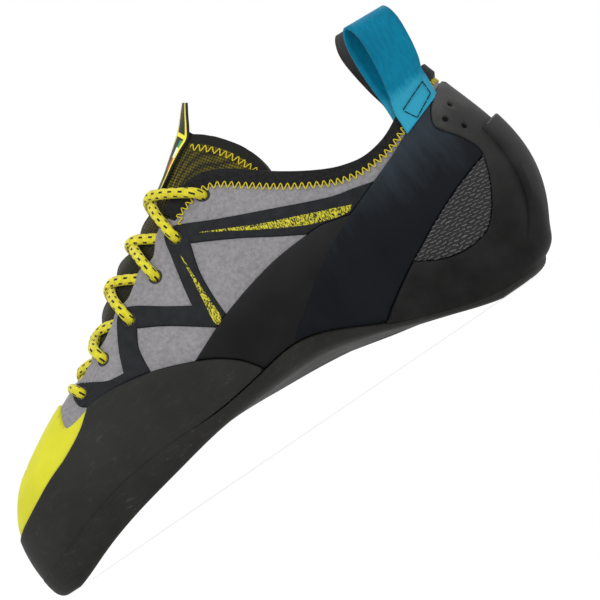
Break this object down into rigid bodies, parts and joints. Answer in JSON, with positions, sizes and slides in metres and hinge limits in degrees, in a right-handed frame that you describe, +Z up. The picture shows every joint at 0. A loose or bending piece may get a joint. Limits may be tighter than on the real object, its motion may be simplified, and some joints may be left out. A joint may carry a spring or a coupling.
{
  "type": "climbing shoe",
  "caption": "Lace-up rock climbing shoe with a hollow lasted upper, cambered rubber sole, toe rand, moulded heel cup, padded tongue and folded pull loops.",
  "frame": {"origin": "floor under the middle of the shoe's bounding box", "axes": "+X from toe to heel, +Y from the medial to the lateral side, +Z up"},
  "size_m": [0.2496, 0.088, 0.1329],
  "materials": {
    "sole_rubber": "matte",
    "rand_rubber": "matte",
    "panel_rubber": "satin",
    "band_rubber": "satin",
    "suede": "matte",
    "yellow_film": "satin",
    "dark_film": "matte",
    "knit": "matte",
    "board": "matte",
    "lace": "matte",
    "tab_ribbon": "matte",
    "blue_ribbon": "satin",
    "grey_ribbon": "satin"
  },
  "bodies": {
    "root": {"outsole": "sole_rubber", "insole": "board", "upper": "suede", "collar_cuff": "knit", "tongue": "knit", "tongue_tab": "tab_ribbon", "toe_cap": "yellow_film", "toe_rand": "rand_rubber", "side_panel_medial": "panel_rubber", "side_panel_lateral": "panel_rubber", "arch_band_medial": "band_rubber", "arch_band_lateral": "band_rubber", "heel_patch_medial": "rand_rubber", "heel_patch_lateral": "rand_rubber", "heel_cup": "rand_rubber", "heel_strip": "rand_rubber", "eyestay_medial": "dark_film", "eyestay_lateral": "dark_film", "lace_crossing_1": "lace", "lace_crossing_2": "lace", "lace_crossing_3": "lace", "lace_crossing_4": "lace", "lace_crossing_5": "lace", "lace_toe_bar": "lace", "pull_loop_medial": "blue_ribbon", "pull_loop_lateral": "grey_ribbon"}
  },
  "joints": []
}
